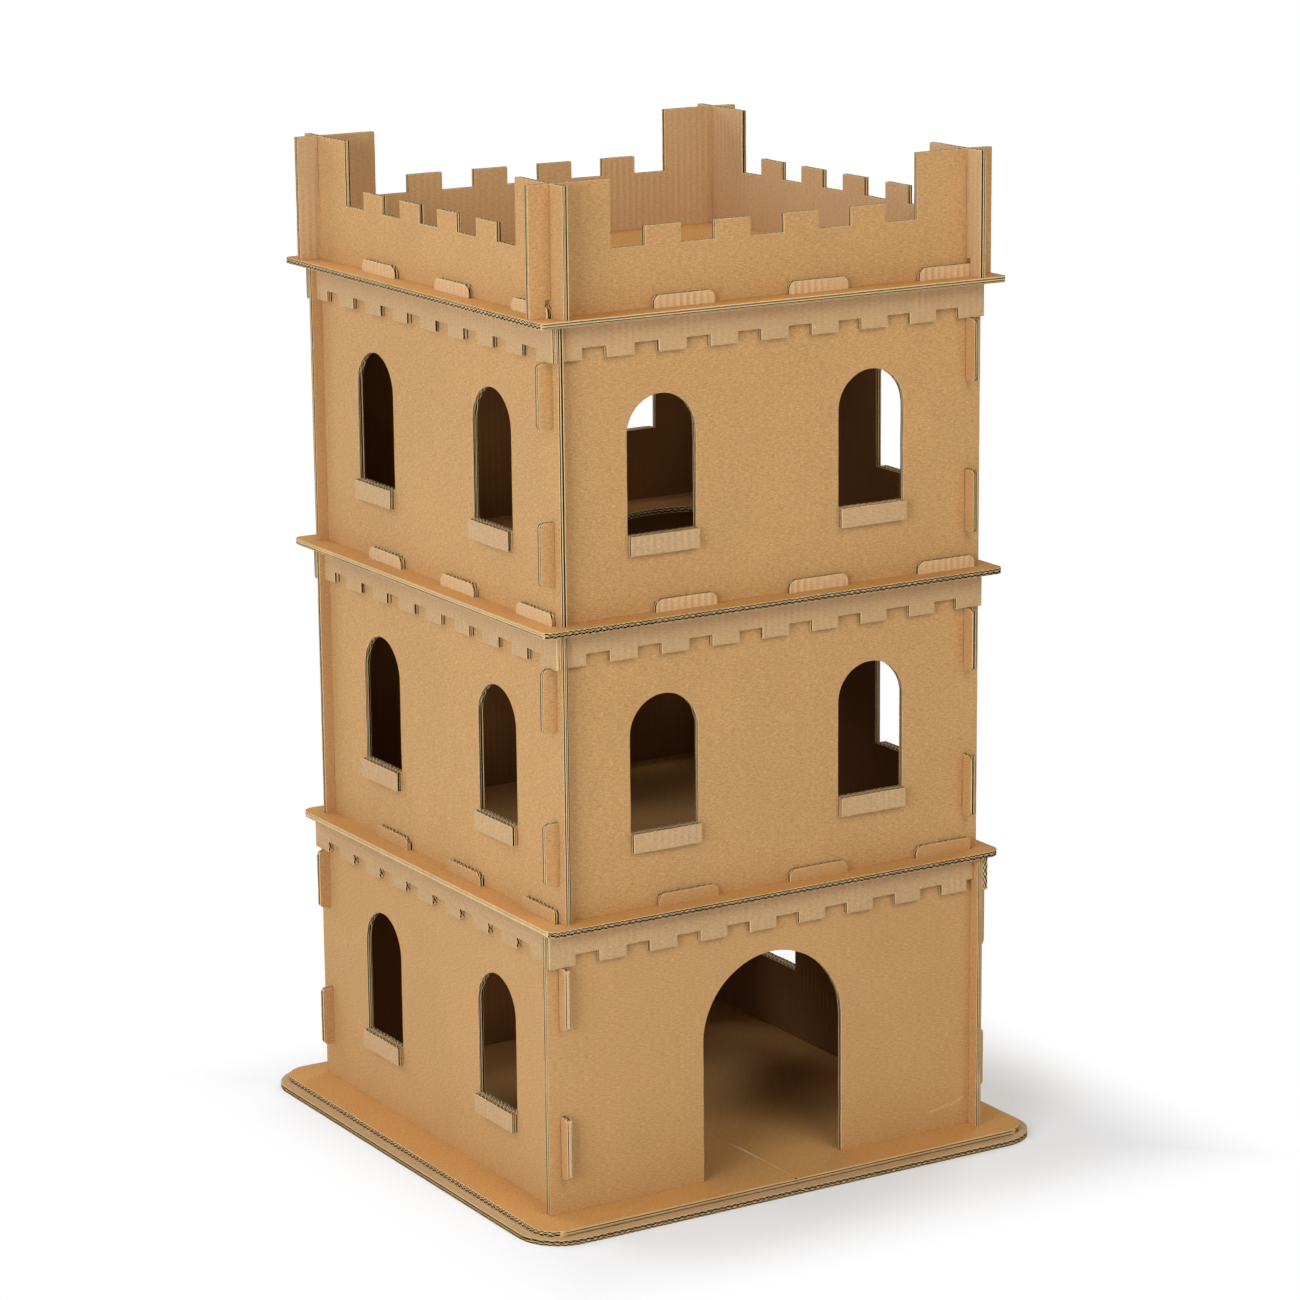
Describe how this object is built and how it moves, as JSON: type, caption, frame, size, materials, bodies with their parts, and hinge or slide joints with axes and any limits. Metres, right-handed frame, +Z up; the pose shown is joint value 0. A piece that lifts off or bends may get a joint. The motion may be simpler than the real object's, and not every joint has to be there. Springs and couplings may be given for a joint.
{
  "type": "cardboard castle",
  "caption": "Square toy castle for a small pet, slotted together from corrugated board, with arched windows and door, floors with hatches and a battlement.",
  "frame": {"origin": "centre of the underside of the base", "axes": "+Z up, -Y towards the front with the door, +X to the right seen from the front"},
  "size_m": [0.622, 0.622, 1.0585],
  "materials": {
    "kraft_board": "matte",
    "grey_liner_board": "matte"
  },
  "bodies": {
    "root": {"base_lower": "kraft_board", "base_upper": "kraft_board", "front_wall_ground": "kraft_board", "front_frieze_ground": "grey_liner_board", "right_wall_ground": "kraft_board", "right_frieze_ground": "grey_liner_board", "back_wall_ground": "kraft_board", "back_frieze_ground": "grey_liner_board", "left_wall_ground": "kraft_board", "left_frieze_ground": "grey_liner_board", "front_wall_middle": "kraft_board", "front_frieze_middle": "grey_liner_board", "right_wall_middle": "kraft_board", "right_frieze_middle": "grey_liner_board", "back_wall_middle": "kraft_board", "back_frieze_middle": "grey_liner_board", "left_wall_middle": "kraft_board", "left_frieze_middle": "grey_liner_board", "front_wall_top": "kraft_board", "front_frieze_top": "grey_liner_board", "right_wall_top": "kraft_board", "right_frieze_top": "grey_liner_board", "back_wall_top": "kraft_board", "back_frieze_top": "grey_liner_board", "left_wall_top": "kraft_board", "left_frieze_top": "grey_liner_board", "floor_middle": "kraft_board", "floor_top": "kraft_board", "floor_terrace": "kraft_board", "front_parapet": "kraft_board", "right_parapet": "kraft_board", "back_parapet": "kraft_board", "left_parapet": "kraft_board"}
  },
  "joints": []
}
